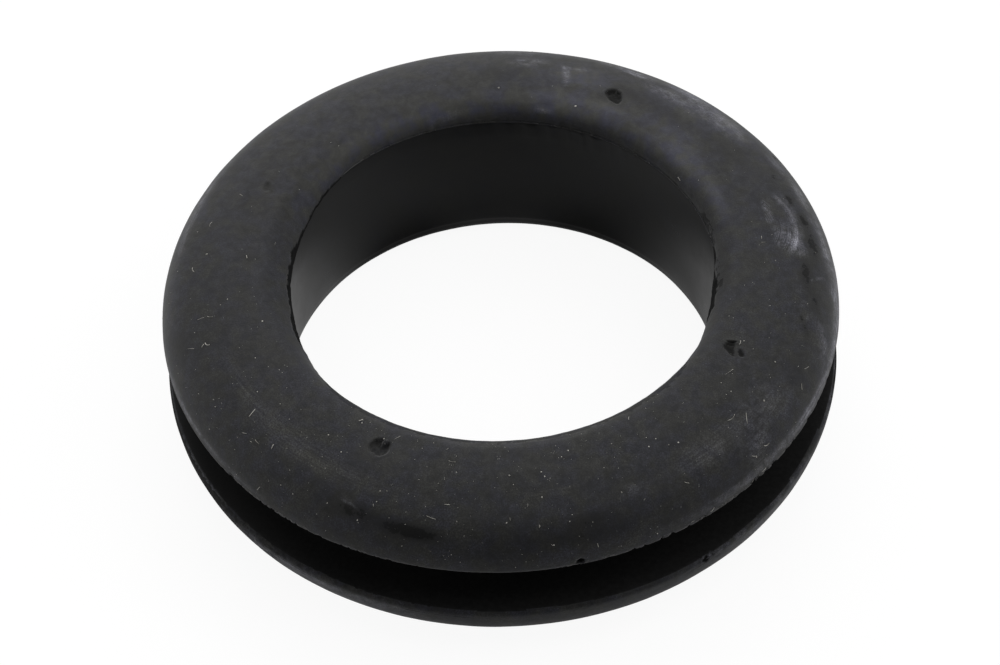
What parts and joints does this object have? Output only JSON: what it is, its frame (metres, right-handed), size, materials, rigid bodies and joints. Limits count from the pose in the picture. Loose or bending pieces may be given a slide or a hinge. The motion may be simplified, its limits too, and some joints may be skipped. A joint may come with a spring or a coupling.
{
  "type": "rubber grommet",
  "caption": "Moulded black rubber grommet: a ring with a plain bore and a panel groove between two domed flanges.",
  "frame": {"origin": "centre of the bore, midway between the two flanges, so in the middle plane of the panel that the groove grips", "axes": "+Z along the bore axis, towards the flange that has the gate marks"},
  "size_m": [0.05, 0.05, 0.014],
  "materials": {
    "rubber": "matte moulded black rubber with a faint grey bloom, dust and lint"
  },
  "bodies": {
    "root": {"grommet": "rubber"}
  },
  "joints": []
}
